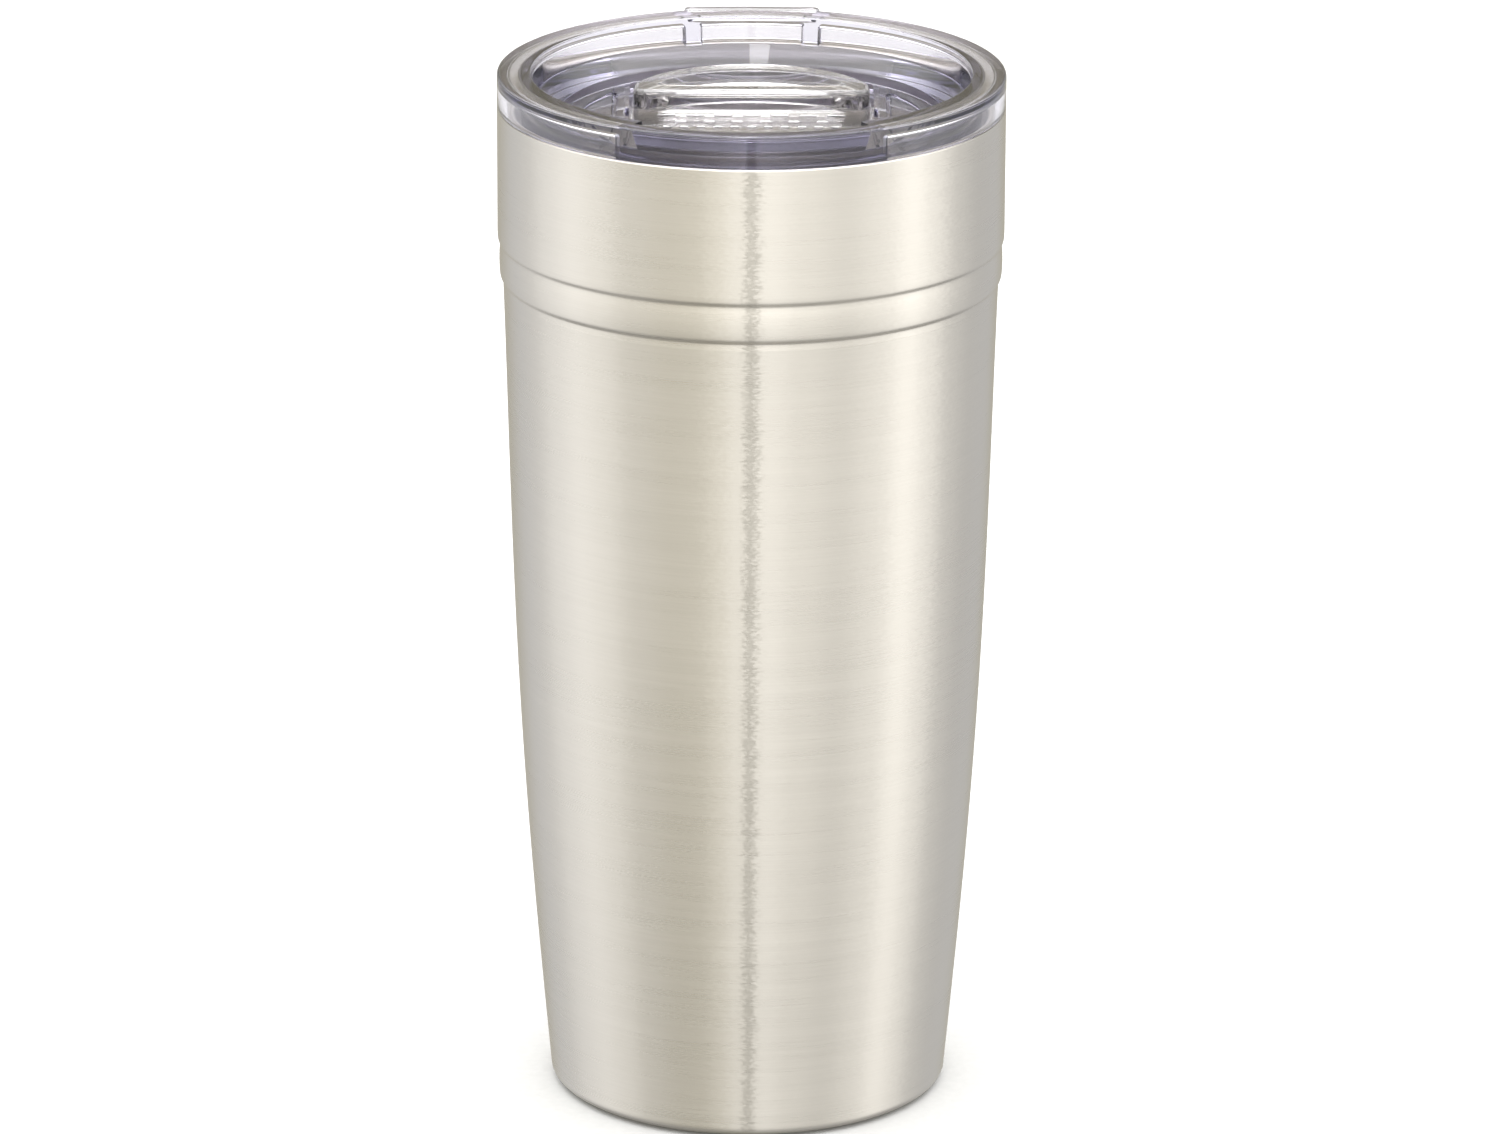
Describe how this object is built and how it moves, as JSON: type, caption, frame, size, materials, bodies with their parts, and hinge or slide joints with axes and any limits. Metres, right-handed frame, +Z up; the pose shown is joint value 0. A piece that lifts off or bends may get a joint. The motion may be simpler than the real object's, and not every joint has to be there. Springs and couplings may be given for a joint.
{
  "type": "insulated tumbler",
  "caption": "Vacuum-walled steel tumbler with two rolled steps and a tapering body, a clear plug-in lid with a thumb tab, and a slider that uncovers the drinking slot.",
  "frame": {"origin": "middle of the flat base, on the tumbler's axis, on the plane it stands on", "axes": "+Z up along the tumbler's axis, -Y to the drinking side, +Y to the thumb tab, +X to the right seen from the drinking side"},
  "size_m": [0.088, 0.0897, 0.184],
  "materials": {
    "brushed_steel": "brushed round the body",
    "liner_steel": "satin, electropolished",
    "plain_steel": "plain rolled sheet",
    "braze": "matt",
    "getter_pellet": "sintered, matt",
    "copper_foil": "bright foil",
    "clear_plastic": "clear, polished, faint blue-violet tint",
    "slider_plastic": "clear, polished",
    "silicone": "matt, translucent"
  },
  "bodies": {
    "tumbler": {"outer_shell": "brushed_steel", "inner_liner": "liner_steel", "vacuum_base": "plain_steel", "vent_seal": "braze", "getter": "getter_pellet", "getter_clip": "plain_steel", "radiation_foil": "copper_foil", "base_cover": "brushed_steel"},
    "lid": {"lid_body": "clear_plastic", "lid_gasket": "silicone"},
    "slider": {"slider": "slider_plastic"}
  },
  "joints": [
    {"name": "lid_lift", "type": "slide", "parent": "tumbler", "child": "lid", "axis": [0, 0, 1], "range_m": [0, 0.05]},
    {"name": "slider_slide", "type": "slide", "parent": "lid", "child": "slider", "axis": [0, 1, 0], "range_m": [0, 0.006]}
  ]
}
